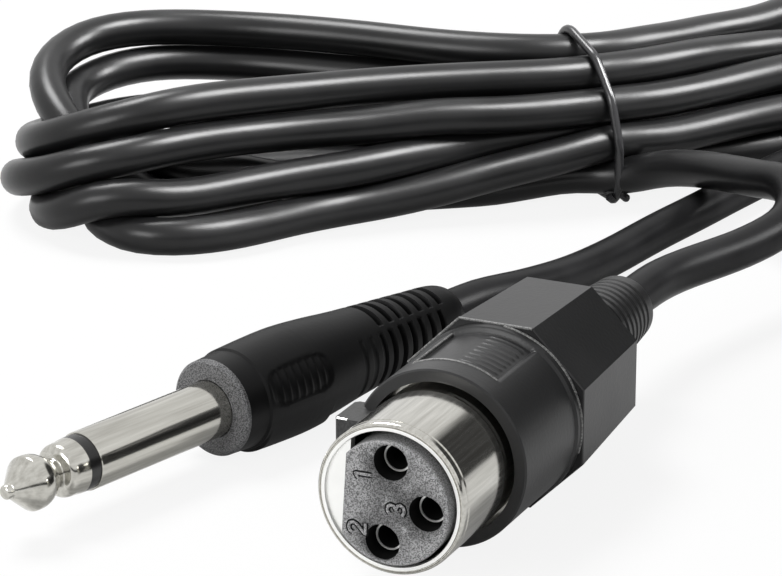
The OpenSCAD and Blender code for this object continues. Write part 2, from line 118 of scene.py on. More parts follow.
# Near and far strands of the six turns, as points (along, across, up) of the hank, left to right
NEAR = [
    [(19, -3.6, 2.4), (26, -3.1, 2.4), (38.9, -0.9, 2.4), (47.6, 0.1, 2.8), (55.5, -1.1, 4),
     (67.5, -2.8, 5.8), (79, -5.6, 7.5), (87.3, -4.4, 7.4), (97.4, -2.4, 7.2), (111.3, 0.4, 7.2),
     (145, -0.4, 7.2), (184, -1.6, 7.2)],
    [(14.5, 1.8, 4.8), (27.5, 1, 6.4), (39.6, 0.6, 6.8), (47.5, -0.2, 7.2), (55.8, -0.6, 7.6),
     (68.7, -0.3, 8.2), (82, 0.2, 8.6), (111, 5.2, 7.2), (145, 4.4, 7.2), (184, 3.4, 7.2)],
    [(28, 8.4, 2.6), (45, 6, 2.4), (82, 2.5, 3.65), (99, 0.9, 2.6), (111, 0.7, 2.4),
     (145, 2, 2.4), (184, 2.6, 2.4)],
    [(19.8, 3.8, 12), (29.2, 5.3, 11.8), (41.2, 4.4, 11.9), (48.8, 2.7, 12.1), (56.5, 1, 12.3),
     (67.7, -2.1, 12.6), (79.9, -3.8, 12.8), (88.2, -2.6, 12.4), (98.8, 0.4, 11.9),
     (114.3, 4.2, 11.6), (145, 3.4, 11.8), (184, 0.8, 11.8)],
    [(22.2, 6.2, 16.4), (30, 7, 16.4), (42.1, 6.4, 16.3), (50.2, 5.9, 16.3), (58, 4.4, 16.3),
     (69.7, 2.1, 16.2), (81.3, -0.9, 16.2), (89.4, 0.8, 15.8), (99.9, 4.6, 14.8),
     (114.1, 8.8, 13.5), (145, 8.2, 12), (184, 5.8, 11.8)],
    [(26, 9.8, 7), (34, 8, 6), (46, 4.6, 3.6), (60.4, 0.4, 2.4), (68.7, -0.8, 2.7),
     (80.9, -2.2, 3.5)],
]
FAR = [
    [(34, 24, 2.4), (62, 15, 2.6), (82, 7.3, 3.65), (110, 16, 2.4), (184, 36, 2.4)],
    [(32, 29, 2.4), (62, 15, 7), (82, 4.4, 8.4), (110, 12.5, 8.2), (184, 36, 7.2)],
    [(29.7, 40, 17.6), (41.5, 37, 17.3), (52, 30.6, 17.2), (58.2, 24.5, 17.2), (63.8, 17.8, 17.3),
     (72.7, 9.5, 17.5), (83.4, 4.2, 17.6), (91.9, 5.7, 17), (103.3, 9.8, 16.3),
     (118.8, 15.1, 15.9), (130, 20.5, 17), (145, 26.5, 17), (165, 32.5, 14.5), (184, 36, 12)],
    [(32, 34.5, 3), (62, 21, 4.4), (82, 9.2, 8.2), (110, 12, 3.8), (184, 31.2, 2.4)],
    [(32, 34.5, 7.2), (54, 25.5, 7.3), (66, 18.5, 8.6), (74, 13, 10.6), (82, 8.3, 12.9),
     (110, 14.5, 13), (184, 31.2, 12)],
    [(29, 38.4, 12.8), (41.6, 37.3, 12.6), (52, 30.6, 12.6), (58.1, 24.3, 12.7), (64.1, 18, 12.8),
     (73.1, 9.8, 13), (82.6, 3.2, 13), (94, 6, 12.2), (110, 10.5, 10.4), (184, 31.2, 7.2)],
]
# The left fold of each turn, from the far strand to the near one
FOLD = [
    [(24, 18.5, 2.4), (17.5, 12, 2.4), (15, 5, 2.4), (15.8, -1, 2.4)],
    [(23, 26.5, 2.4), (15.5, 21, 2.4), (11, 14, 2.4), (9.8, 7, 2.9)],
    [(20.5, 36.5, 16.6), (17.2, 30.5, 14), (17.3, 22.5, 9.5), (20.5, 14.5, 4.8)],
    [(22, 31, 3.4), (13, 26, 4), (9.3, 19.5, 5), (9.8, 11, 7.6), (14, 5.3, 10.2)],
    [(23.5, 33, 7.6), (16, 29, 7.6), (13.3, 22.5, 9), (14.3, 14.5, 12), (18, 8.8, 14.8)],
    [(21.3, 35.4, 11.4), (17.4, 29, 9.4), (18.1, 19.5, 8.4)],
]
# The plug's lead enters the hank low on the right and goes on to the first right fold
FIRST_RUN = [(121.1, -1.95, 2.4), (135, -3.2, 2.4), (160, -2.6, 2.4), (184, -2.4, 2.4)]
RIGHT_APEX = [212, 212, 211, 207, 207, 203]
SEEN_NEAR, SEEN_FAR = (0, 1, 3, 4, 5), (2, 5)
STEP = 2.0
# How firmly the strands are drawn back to their planned places, each round
FIRM_LEAD, FIRM_SEEN, FIRM_FOLD, FIRM_UNSEEN, FIRM_RIGHT = 0.1, 0.12, 0.03, 0.02, 0.01
EASED_IN, EASED_OUT = 12, 8         # points of the leads, next to the hank, that may move
ROUNDS, QUICK_ROUNDS = 300, 60


def catmull(points, n=6):
    """A smooth line through the points, with n steps between each two."""
    p = np.asarray(points, float)
    q = np.vstack([2 * p[0] - p[1], p, 2 * p[-1] - p[-2]])
    t = np.linspace(0, 1, n, endpoint=False)[:, None]
    out = [0.5 * (2 * b + (c - a) * t + (2 * a - 5 * b + 4 * c - d) * t * t
                  + (3 * b - a - 3 * c + d) * t ** 3)
           for a, b, c, d in zip(q[:-3], q[1:-2], q[2:-1], q[3:])]
    return np.vstack(out + [p[-1:]])


def arc_length(p):
    """How far along the line each of its points is."""
    return np.r_[0, np.cumsum(np.linalg.norm(np.diff(p, axis=0), axis=1))]


def even(p, step):
    """The line with its points about a step apart."""
    p = np.asarray(p, float)
    s = arc_length(p)
    t = np.linspace(0, s[-1], max(int(round(s[-1] / step)), 1) + 1)
    return np.stack([np.interp(t, s, p[:, k]) for k in range(3)], axis=1)


def half_turn(a, b, apex, n=9):
    """Half a circle from a to b whose outermost point lies at apex along the hank."""
    a, b = np.array(a, float), np.array(b, float)
    radius = np.linalg.norm(b[1:] - a[1:]) / 2
    t = np.linspace(0, math.pi, n)[:, None]
    p = a + (b - a) * (1 - np.cos(t)) / 2
    p[:, 0] = apex - radius + radius * np.sin(t[:, 0])
    return p.tolist()


def cable_plan():
    """The cable's first line and how firmly each point of it is kept, plug to XLR connector."""
    plug = on_plug([[0, 0, s] for s in PLUG_ENTRY]).tolist()
    xlr = on_xlr([[0, 0, s] for s in XLR_ENTRY]).tolist()
    lead_in = even(catmull(to_hank(plug + PLUG_ROUTE)), STEP)
    lead_out = even(catmull(to_hank(XLR_ROUTE[::-1] + xlr)), STEP)
    last = FIRST_RUN[-1]
    runs = [(FIRST_RUN, FIRM_UNSEEN)]
    for k, near in enumerate(NEAR):
        far = FAR[k][::-1]
        runs.append(([last] + half_turn(last, far[0], RIGHT_APEX[k]) + [far[0]], FIRM_RIGHT))
        runs.append((far, FIRM_SEEN if k in SEEN_FAR else FIRM_UNSEEN))
        runs.append(([far[-1]] + FOLD[k] + [near[0]], FIRM_FOLD))
        runs.append((near, FIRM_SEEN if k in SEEN_NEAR else FIRM_UNSEEN))
        last = near[-1]
    line = [lead_in]
    hold = [np.full(len(lead_in), FIRM_LEAD)]
    fixed = [np.arange(len(lead_in)) < len(lead_in) - EASED_IN]
    for points, firm in runs:
        p = even(catmull(points), STEP)[1:]
        line.append(p)
        hold.append(np.full(len(p), firm))
        fixed.append(np.zeros(len(p), bool))
    line.append(lead_out)
    hold.append(np.full(len(lead_out), FIRM_LEAD))
    fixed.append(np.arange(len(lead_out)) >= EASED_OUT)
    return np.vstack(line), np.concatenate(hold), np.concatenate(fixed)


def close_pairs(q, skip, reach):
    """Points nearer to each other than reach, at least skip points apart along the line."""
    first, second, block = [], [], 256
    for a in range(0, len(q), block):
        gap = ((q[a:a + block, None] - q[None]) ** 2).sum(-1)
        i, j = np.nonzero(gap < reach ** 2)
        i += a
        keep = j - i >= skip
        first.append(i[keep])
        second.append(j[keep])
    return np.concatenate(first), np.concatenate(second)


def ease(q, free, tightest=17.0, smoothing=0.2, opening=0.45):
    """Takes kinks out of the line, and opens bends tighter than the cable takes."""
    lap = np.zeros_like(q)
    lap[1:-1] = (q[:-2] + q[2:]) / 2 - q[1:-1]
    move = np.zeros_like(q)
    move[2:-2] = lap[2:-2] - (lap[1:-3] + lap[3:-1]) / 2
    q = q + smoothing * free * move
    for k in (2, 5):        # bends measured over a short and a longer stretch
        lap = np.zeros_like(q)
        lap[k:-k] = (q[:-2 * k] + q[2 * k:]) / 2 - q[k:-k]
        most = (k * STEP) ** 2 / (2 * tightest)
        over = lap * np.maximum(0, 1 - most / np.maximum(np.linalg.norm(lap, axis=1), 1e-6))[:, None]
        move = over.copy()
        move[:-k] -= over[k:] / 2
        move[k:] -= over[:-k] / 2
        q = q + opening * free * move
    return q


def relax(line, hold, fixed, rounds):
    """Lets the strands push each other apart, down to the surface, near the planned line."""
    free, apart = (~fixed)[:, None].astype(float), 2 * CABLE_R + 0.1
    # Points at least skip apart along the line and within reach push each other by a share of
    # what they overlap; along each axis a round moves a point no further than most
    skip, reach, share, most = 9, 7.8, 0.16, 0.5
    for _ in range(rounds):
        line = ease(line, free)
        line[:, 2] = np.maximum(line[:, 2], CABLE_R)
    q = line.copy()
    for turn in range(rounds):
        if turn % 10 == 0:      # neighbours change slowly
            i, j = close_pairs(q, skip, reach)
        run = np.gradient(q, axis=0)
        run /= np.linalg.norm(run, axis=1, keepdims=True)
        away = q[j] - q[i]
        along = (away * run[i]).sum(1)
        away -= along[:, None] * run[i]
        gap = np.linalg.norm(away, axis=1)
        deep = np.where(np.abs(along) < 1.5 * STEP, np.maximum(apart - gap, 0), 0)
        push = (share * deep / np.maximum(gap, 1e-3))[:, None] * away
        move = hold[:, None] * (line - q)
        np.add.at(move, i, -push)
        np.add.at(move, j, push)
        q = q + free * np.clip(move, -most, most)
        for _ in range(4):
            q = ease(q, free)
        q[:, 2] = np.where(fixed, q[:, 2], np.maximum(q[:, 2], CABLE_R))
    return q


# ---- mesh helpers ----
SHARP = math.radians(32)


def add_mesh(name, verts, faces, smooth=True, scale=MM):
    """A mesh object; faces that meet at more than the sharp angle keep a sharp edge."""
    mesh = bpy.data.meshes.new(name)
    mesh.from_pydata((np.asarray(verts) * scale).tolist(), [], faces)
    mesh.update()
    if smooth:
        mesh.shade_smooth()
        mesh.set_sharp_from_angle(angle=SHARP)
    obj = bpy.data.objects.new(name, mesh)
    bpy.context.scene.collection.objects.link(obj)
    return obj


def ring_pairs(count, loop):
    """Each ring with the next one, and in a loop the last with the first."""
    rings = list(range(count))
    return zip(rings, rings[1:] + (rings[:1] if loop else []))


def ring_faces(count, sides, loop):
    """The four-sided faces between rings of as many points as the solid has sides."""
    return [(a * sides + k, a * sides + (k + 1) % sides, b * sides + (k + 1) % sides, b * sides + k)
            for a, b in ring_pairs(count, loop) for k in range(sides)]


def tube_mesh(path, radius, sides, ends=True):
    """A round tube along the points, with a frame carried from ring to ring; a loop has no ends."""
    p = np.asarray(path, float)
    run = np.gradient(p, axis=0) if ends else np.roll(p, -1, 0) - np.roll(p, 1, 0)
    run /= np.linalg.norm(run, axis=1, keepdims=True)
    side = np.cross(run[0], [0, 0, 1.0] if abs(run[0, 2]) < 0.9 else [1.0, 0, 0])
    side /= np.linalg.norm(side)
    turn = np.linspace(0, 2 * math.pi, sides, endpoint=False)
    verts = []
    for q, t in zip(p, run):
        side = side - t * (side @ t)
        side /= np.linalg.norm(side)
        up = np.cross(t, side)
        verts.append(q + radius * (np.cos(turn)[:, None] * side + np.sin(turn)[:, None] * up))
    faces = [(a * sides + (k + 1) % sides, b * sides + (k + 1) % sides, b * sides + k, a * sides + k)
             for a, b in ring_pairs(len(p), not ends) for k in range(sides)]
    if ends:
        faces += [tuple(range(sides)), tuple((len(p) - 1) * sides + k for k in reversed(range(sides)))]
    return np.vstack(verts), faces


def turned_mesh(profile, turns=128, shape=None, loop=False):
    """A turned solid in a connector's own axes; shape(s, turn, r) may vary the radius."""
    turn = np.linspace(0, 2 * math.pi, turns, endpoint=False)
    verts = []
    for s, r in profile:
        radius = np.full(turns, float(r)) if shape is None else shape(s, turn, float(r))
        verts.append(np.c_[radius * np.cos(turn), radius * np.sin(turn), np.full(turns, float(s))])
    faces = ring_faces(len(profile), turns, loop)
    if not loop:
        faces += [tuple(reversed(range(turns))), tuple((len(profile) - 1) * turns + k for k in range(turns))]
    return np.vstack(verts), faces


def joined(parts):
    """Several meshes as one, each with the number of its material."""
    verts, faces, kinds, start = [], [], [], 0
    for (v, f), kind in parts:
        verts.append(v)
        faces += [tuple(k + start for k in face) for face in f]
        kinds += [kind] * len(f)
        start += len(v)
    return np.vstack(verts), faces, kinds


def dense(profile, step):
    """The profile with no two points further apart than step."""
    out = [profile[0]]
    for a, b in zip(profile[:-1], profile[1:]):
        n = max(int(math.ceil(math.hypot(b[0] - a[0], b[1] - a[1]) / step)), 1)
        out += [(a[0] + (b[0] - a[0]) * k / n, a[1] + (b[1] - a[1]) * k / n) for k in range(1, n + 1)]
    return out


def rise(x):
    """A soft step from 0 at 0 to 1 at 1."""
    x = np.clip(x, 0, 1)
    return x * x * (3 - 2 * x)


def window(x, low, high, soft):
    """1 between low and high, 0 outside, with soft edges."""
    return rise((x - low) / soft) * rise((high - x) / soft)


def degrees(turn):
    """Angles in degrees from -90 to 270."""
    return (np.degrees(turn) + 90) % 360 - 90


# ---- materials ----
def new_material(name):
    """A material with an empty Principled shader, its nodes and its links."""
    mat = bpy.data.materials.new(name)
    mat.use_nodes = True
    nodes = mat.node_tree.nodes
    nodes.clear()
    out = nodes.new("ShaderNodeOutputMaterial")
    shader = nodes.new("ShaderNodeBsdfPrincipled")
    mat.node_tree.links.new(shader.outputs[0], out.inputs[0])
    return mat, nodes, mat.node_tree.links, shader


def noise(nodes, links, scale, detail=3.0, streak=1, turn=0):
    """Noise drawn out streak times along the row's Y axis turned about Z."""
    where = nodes.new("ShaderNodeTexCoord")
    place = nodes.new("ShaderNodeMapping")
    place.vector_type = "TEXTURE"
    place.inputs["Scale"].default_value = (1, streak, 1)
    place.inputs["Rotation"].default_value = (0, 0, turn)
    tex = nodes.new("ShaderNodeTexNoise")
    tex.inputs["Scale"].default_value = scale
    tex.inputs["Detail"].default_value = detail
    links.new(where.outputs["Object"], place.inputs[0])
    links.new(place.outputs[0], tex.inputs["Vector"])
    return tex.outputs["Fac"]


def ramp(nodes, links, value, low, high, start, end):
    """A colour between low and high as value goes from start to end."""
    node = nodes.new("ShaderNodeValToRGB")
    node.color_ramp.elements[0].position = start
    node.color_ramp.elements[1].position = end
    node.color_ramp.elements[0].color = (*low, 1)
    node.color_ramp.elements[1].color = (*high, 1)
    links.new(value, node.inputs[0])
    return node.outputs[0]


def span(nodes, links, value, low, high):
    """A noise's usual values spread from low to high."""
    node = nodes.new("ShaderNodeMapRange")
    node.inputs["From Min"].default_value = 0.3
    node.inputs["From Max"].default_value = 0.7
    node.inputs["To Min"].default_value = low
    node.inputs["To Max"].default_value = high
    links.new(value, node.inputs[0])
    return node.outputs[0]


def bump(nodes, links, value, shader, depth):
    """A grain of the given depth in metres."""
    node = nodes.new("ShaderNodeBump")
    node.inputs["Distance"].default_value = depth
    node.inputs["Strength"].default_value = 1.0
    links.new(value, node.inputs["Height"])
    links.new(node.outputs[0], shader.inputs["Normal"])


def finish_of(name, low, high, rough, grain, depth, metal=0.0, patch=60.0, specular=0.5, streak=1, turn=0,
              spread=0.2):
    """A colour from low to high in patches, a roughness that varies with it, and a fine grain.

    grain and patch are noise scales per metre, depth is the grain's in metres, streak draws the
    patches out along Y turned by turn, and a smaller spread sets low and high off more sharply.
    """
    mat, nodes, links, shader = new_material(name)
    patches = noise(nodes, links, patch, 4.0, streak, turn)
    links.new(ramp(nodes, links, patches, low, high, 0.5 - spread, 0.5 + spread), shader.inputs["Base Color"])
    links.new(span(nodes, links, patches, *rough), shader.inputs["Roughness"])
    shader.inputs["Metallic"].default_value = metal
    shader.inputs["Specular IOR Level"].default_value = specular
    bump(nodes, links, noise(nodes, links, grain, 2.0), shader, depth)
    return mat


FINISHES = {
    "nickel": dict(low=(0.42, 0.41, 0.375), high=(0.66, 0.65, 0.61), rough=(0.08, 0.17), grain=900,
                   depth=0.000002, metal=1.0, patch=2600, streak=25, spread=0.25),
    "nickel_plug": dict(low=(0.40, 0.39, 0.355), high=(0.62, 0.61, 0.565), rough=(0.08, 0.17), grain=900,
                        depth=0.000002, metal=1.0, patch=2200, streak=25, turn=PLUG_TURN, spread=0.25),
    # a lighter copy of the nickel: painted highlight on the nose's rim, the contacts' lips and the latch's
    # corner, and painted reflection on the ledge
    "painted_highlight": dict(low=(0.86, 0.86, 0.84), high=(0.95, 0.95, 0.93), rough=(0.3, 0.4), grain=900,
                        depth=0.000004, metal=1.0, patch=200),
    "contact_block": dict(low=(0.09, 0.09, 0.091), high=(0.42, 0.42, 0.425), rough=(0.5, 0.65), grain=9000,
                          depth=0.00003, patch=9000, spread=0.08),
    "contact": dict(low=(0.8, 0.79, 0.76), high=(0.9, 0.89, 0.86), rough=(0.08, 0.14), grain=900,
                    depth=0.000004, metal=1.0, patch=300),
    "tinned_strip": dict(low=(0.55, 0.54, 0.52), high=(0.68, 0.67, 0.65), rough=(0.25, 0.4), grain=900,
                         depth=0.00001, metal=1.0, patch=300),
    "latch": dict(low=(0.004, 0.004, 0.004), high=(0.03, 0.03, 0.03), rough=(0.4, 0.5), grain=2600,
                  depth=0.00003, patch=3400, spread=0.12),
    "spring_steel": dict(low=(0.5, 0.5, 0.51), high=(0.62, 0.62, 0.63), rough=(0.15, 0.3), grain=900,
                         depth=0.00001, metal=1.0, patch=300),
    "housing": dict(low=(0.014, 0.014, 0.0145), high=(0.022, 0.022, 0.0225), rough=(0.34, 0.42), grain=2400,
                    depth=0.00002, specular=0.35),
    "chuck": dict(low=(0.6, 0.59, 0.54), high=(0.7, 0.69, 0.64), rough=(0.4, 0.5), grain=1200, depth=0.00002),
    "core_insulation": dict(low=(0.4, 0.03, 0.025), high=(0.5, 0.05, 0.04), rough=(0.4, 0.5), grain=900,
                            depth=0.00001),
    "copper": dict(low=(0.55, 0.25, 0.14), high=(0.75, 0.4, 0.24), rough=(0.25, 0.4), grain=900,
                   depth=0.00001, metal=1.0, patch=300),
    "insulator": dict(low=(0.008, 0.008, 0.008), high=(0.014, 0.014, 0.014), rough=(0.2, 0.3), grain=900,
                      depth=0.00001),
    "fibre": dict(low=(0.2, 0.1, 0.045), high=(0.3, 0.16, 0.08), rough=(0.6, 0.8), grain=1500, depth=0.00003),
    "collar": dict(low=(0.02, 0.02, 0.021), high=(0.2, 0.2, 0.205), rough=(0.45, 0.6), grain=8000,
                   depth=0.00006, patch=8000, spread=0.08),
    "grip": dict(low=(0.004, 0.004, 0.0042), high=(0.007, 0.007, 0.0073), rough=(0.4, 0.5), grain=1800,
                 depth=0.00001, specular=0.14),
    "jacket": dict(low=(0.004, 0.004, 0.0042), high=(0.007, 0.007, 0.0073), rough=(0.29, 0.35), grain=900,
                   depth=0.00001, patch=120),
    "tie": dict(low=(0.012, 0.012, 0.013), high=(0.02, 0.02, 0.021), rough=(0.24, 0.3), grain=900,
                depth=0.00001),
    # painted shade: the walls deep in the contact holes, the insides of the contacts and the grooves round
    # the numbers
    "painted_shade": dict(low=(0.003, 0.003, 0.003), high=(0.007, 0.007, 0.007), rough=(0.7, 0.8), grain=1800,
                      depth=0.00001, specular=0.1),
    "worn_edge": dict(low=(0.04, 0.04, 0.04), high=(0.26, 0.26, 0.255), rough=(0.4, 0.6), grain=3000,
                      depth=0.00005, patch=4200, spread=0.15),
}
MATERIALS = {name: finish_of(name, **finish) for name, finish in FINISHES.items()}
HANK_SHINE, LEAD_SHINE = 0.3, 0.05      # specular of the jacket in the hank and beside the connectors


def ramp_value(nodes, links, value, start, end, low=0.0, high=1.0):
    """A number that goes softly from low to high as value goes from start to end."""
    node = nodes.new("ShaderNodeMapRange")
    node.interpolation_type = "SMOOTHSTEP"
    for name, number in (("From Min", start), ("From Max", end), ("To Min", low), ("To Max", high)):
        node.inputs[name].default_value = number
    links.new(value, node.inputs[0])
    return node.outputs[0]


def combine(nodes, links, how, a, b):
    """Two numbers or sockets combined by a Math node's operation."""
    node = nodes.new("ShaderNodeMath")
    node.operation = how
    for k, value in enumerate((a, b)):
        if isinstance(value, (int, float)):
            node.inputs[k].default_value = value
        else:
            links.new(value, node.inputs[k])
    return node.outputs[0]


def dull_leads(mat):
    """The cable's value "lead", 1 beside the connectors and 0 in the hank, takes most of its shine."""
    nodes, links = mat.node_tree.nodes, mat.node_tree.links
    lead = nodes.new("ShaderNodeAttribute")
    lead.attribute_name = "lead"
    shader = next(n for n in nodes if n.type == "BSDF_PRINCIPLED")
    shine = ramp_value(nodes, links, lead.outputs["Fac"], 0, 1, HANK_SHINE, LEAD_SHINE)
    links.new(shine, shader.inputs["Specular IOR Level"])


dull_leads(MATERIALS["jacket"])


def dress(obj, slot, extra=()):
    """Gives an object its slot's material, and extra ones that some of its faces take."""
    obj.data.materials.clear()
    for name in (slot, *extra):
        obj.data.materials.append(MATERIALS[name])


def piece(name, mesh, slot, *replaced, extra=()):
    """A visible piece that rides on the cable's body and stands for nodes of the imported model."""
    verts, faces, *kinds = mesh
    obj = add_mesh(name, verts, faces)
    dress(obj, slot, extra)
    if kinds:
        obj.data.polygons.foreach_set("material_index", kinds[0])
    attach(obj, "cable")
    if replaced:
        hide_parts(*replaced)
    return obj


def placed(where, mesh):
    """A mesh in a connector's own axes, moved to its place."""
    return (where(mesh[0]), *mesh[1:])


# ---- cable and tie ----
CABLE_SIDES = 24
PATH_STEP = 2.2
# Length of the dull end of each lead and of the stretch over which it turns glossy
PLUG_LEAD, PLUG_FADE = 100, 60
XLR_LEAD, XLR_FADE = 65, 35
TIE_AT, TIE_R, TIE_LEAN = 82.0, 0.6, 0.06       # along the hank, the wire's radius, mm along per mm of height
TWIST_R, TWIST_LENGTH, TWIST_TURN = 0.55, 2.5, 1.3 * math.pi


def make_cable():
    """The cable in one length, with its path, its length and its line in the hank's axes."""
    line = relax(*cable_plan(), ROUNDS)
    path = on_hank(even(line, PATH_STEP))
    run = arc_length(path)
    length = run[-1]
    tube = tube_mesh(path, CABLE_R, CABLE_SIDES)
    cable = piece("cable", tube, "jacket", "cable_hank", "xlr_lead", "plug_lead")
    dull = np.maximum(1 - rise((run - PLUG_LEAD) / PLUG_FADE),
                      1 - rise((length - run - XLR_LEAD) / XLR_FADE))
    lead = cable.data.attributes.new("lead", "FLOAT", "POINT")
    lead.data.foreach_set("value", np.repeat(dull, CABLE_SIDES))
    print("cable length", round(length / 1000, 3), "m")
    return cable, path, length, line


def convex(points):
    """Convex hull of points in a plane, anticlockwise."""
    p = sorted(map(tuple, points))

    def half(seq):
        out = []
        for q in seq:
            while len(out) > 1 and ((out[-1][0] - out[-2][0]) * (q[1] - out[-2][1])
                                    - (out[-1][1] - out[-2][1]) * (q[0] - out[-2][0])) <= 0:
                out.pop()
            out.append(q)
        return out[:-1]
    return np.array(half(p) + half(p[::-1]))


def tie_path(line):
    """A loop drawn tight round the strands where they cross the tie's plane."""
    cross = []
    for a, b in zip(line[:-1], line[1:]):
        if (a[0] - TIE_AT) * (b[0] - TIE_AT) < 0:
            t = (TIE_AT - a[0]) / (b[0] - a[0])
            cross.append(((1 - t) * a + t * b)[1:])
    hank_from, hank_to = -12, 20        # across the hank: a lead further off is left out of the tie
    cross = np.array([c for c in cross if hank_from < c[0] < hank_to])
    turn = np.linspace(0, 2 * math.pi, 73)[:-1]
    ring = (CABLE_R + TIE_R + 0.05) * np.c_[np.cos(turn), np.sin(turn)]
    hull = convex(np.vstack([c + ring for c in cross]))
    loop = even(np.c_[np.zeros(len(hull) + 1), np.vstack([hull, hull[:1]])], 0.8)[:-1]
    loop[:, 2] = np.maximum(loop[:, 2], TIE_R + 0.02)
    lean = TIE_LEAN * (9 - loop[:, 2])
    return np.c_[TIE_AT + lean, loop[:, 1], loop[:, 2]]


def tie_twist(loop):
    """The two ends of the tie, twisted together below the front of the hank."""
    low = loop[np.argmin(loop[:, 1] + 2.2 * loop[:, 2])]
    t = np.linspace(0, 1, 25)
    middle = np.c_[low[0] - 1.2 + TWIST_LENGTH * t, low[1] - 0.4 - 0.4 * t, 1.25 + 0 * t]
    turn = TWIST_TURN * t
    swing = TWIST_R * np.c_[0 * t, np.cos(turn), np.sin(turn)]
    return [tube_mesh(on_hank(middle + k * swing), TWIST_R, 10) for k in (1, -1)]


def make_tie(line):
    """The wire tie as one piece: its loop and its twisted ends."""
    loop = tie_path(line)
    wires = [tube_mesh(on_hank(loop), TIE_R, 14, ends=False), *tie_twist(loop)]
    return piece("tie_loop", joined([(wire, 0) for wire in wires]), "tie", "wire_tie")


cable, path, length, line = make_cable()
tie = make_tie(line)


# ---- jack plug ----
# Profiles as (s, radius), s back from the tip
TIP = [(0, 0.5), (0.1, 0.68), (0.35, 0.78), (0.75, 0.82), (0.95, 1.02), (2.95, 2.72), (3.2, 2.86),
       (3.5, 2.92), (4.1, 2.9), (4.7, 2.74), (5.4, 2.38), (6.0, 1.98), (6.5, 1.66), (6.8, 1.6), (6.98, 1.72),
       (7.15, 2.3), (7.4, 2.68), (7.8, 2.86), (8.6, 2.9), (9.5, 3.0), (9.6, 2.95)]
SLEEVE = [(11, 3.08), (11.08, 3.16), (11.2, 3.175), (30.4, 3.175), (30.65, 2.93), (33, 2.93), (33, 1.9),
          (11, 1.9)]
COLLAR_RING = [(30.52, 3.2), (30.47, 3.24), (30.47, 3.5), (30.9, 3.5), (30.9, 3.2)]
GRIP_LIP = [(31.05, 5.2), (31.2, 5.36), (33.9, 5.48)]
GRIP = [(34.15, 5.7), (38.3, 5.86), (42.5, 5.9), (47, 5.58), (51.5, 5.1), (56, 4.72), (60.3, 4.38),
        (64.3, 4.05), (66.8, 3.86), (68.6, 3.6), (69.8, 3.1), (70.2, 2.6)]
GRIP_HOLLOW = [(70.1, 2.45), (60, 2.45), (56, 4.1), (40, 4.1), (35, 5.02), (31.05, 5.02)]
GRIP_TURNS = 160
DIMPLE_AT, DIMPLE_HALF, DIMPLE_DEEP = 39.3, 4.9, 0.22       # along the grip
DIMPLE_TURN, DIMPLE_WIDE = 158, 22                          # round it, in degrees
RIB_PITCH, RIB_HIGH = 1.12, 0.1
SWELL_FROM, SWELL_TO, SWELL_TURN, SWELL_HIGH = 34.4, 44.9, 258, 0.35
SLOT_PITCH, SLOT_HALF = 1.85, 0.47
GROOVE_DEEP, SLOT_DEEP, SLOTS_FROM = 0.18, 0.7, 54          # grooves in the grip go over into slots
# Rows of slots: the turn of their middle, half their width in degrees, s of the first and their count
SLOT_ROWS = [(90, 44, 54.8, 7), (181, 40, 50.2, 9), (270, 44, 54.8, 7), (0, 40, 53.9, 7)]


def off_angle(deg, centre):
    """How far an angle is from the centre one, from -180 to 180 degrees."""
    return (deg - centre + 180) % 360 - 180


def grip_shape(s, turn, r):
    """Thumb dimple with ribs, flat swelling underneath and the slots of the strain relief."""
    deg = degrees(turn)
    u, v = (s - DIMPLE_AT) / DIMPLE_HALF, off_angle(deg, DIMPLE_TURN) / DIMPLE_WIDE
    inward = 1 - u ** 4 - v ** 4
    dimple = rise(inward * 2.2)
    ribs = np.maximum(0, math.sin(2 * math.pi * s / RIB_PITCH)) * rise(inward * 1.2)
    r = r - DIMPLE_DEEP * dimple + RIB_HIGH * ribs
    under = rise(1.6 - np.abs(off_angle(deg, SWELL_TURN)) / 36)
    r = r + SWELL_HIGH * window(s, SWELL_FROM, SWELL_TO, 0.25) * under
    for centre, half, first, count in SLOT_ROWS:
        k = min(max(round((s - first) / SLOT_PITCH), 0), count - 1)
        middle = first + SLOT_PITCH * k
        across = window(s, middle - SLOT_HALF, middle + SLOT_HALF, 0.2)
        deep = GROOVE_DEEP if s < SLOTS_FROM else SLOT_DEEP
        r = r - deep * across * rise((half - np.abs(off_angle(deg, centre))) / 4)
    return r


def smooth_profile(profile):
    """A smooth curve through the profile's points."""
    return catmull(np.c_[profile, np.zeros(len(profile))], 4)[:, :2].tolist()


def make_plug():
    """The tip, the sleeve, the narrow ring behind it and the moulded grip with its hollow."""
    for name, mesh in (("tip", turned_mesh(smooth_profile(TIP))), ("sleeve", turned_mesh(SLEEVE, loop=True))):
        piece(f"plug_{name}_turned", placed(on_plug, joined([(mesh, 1)])), "nickel", f"plug_{name}",
              extra=["nickel_plug"])
    piece("collar_ring", placed(on_plug, turned_mesh(COLLAR_RING, 96, loop=True)), "collar")
    outer = dense(GRIP_LIP + smooth_profile(GRIP), 0.13)
    outside, _ = turned_mesh(outer, GRIP_TURNS, grip_shape)
    inside, _ = turned_mesh(GRIP_HOLLOW, GRIP_TURNS)
    faces = ring_faces(len(outer) + len(GRIP_HOLLOW), GRIP_TURNS, True)
    piece("grip_moulding", placed(on_plug, (np.vstack([outside, inside]), faces)), "grip", "plug_grip")


make_plug()


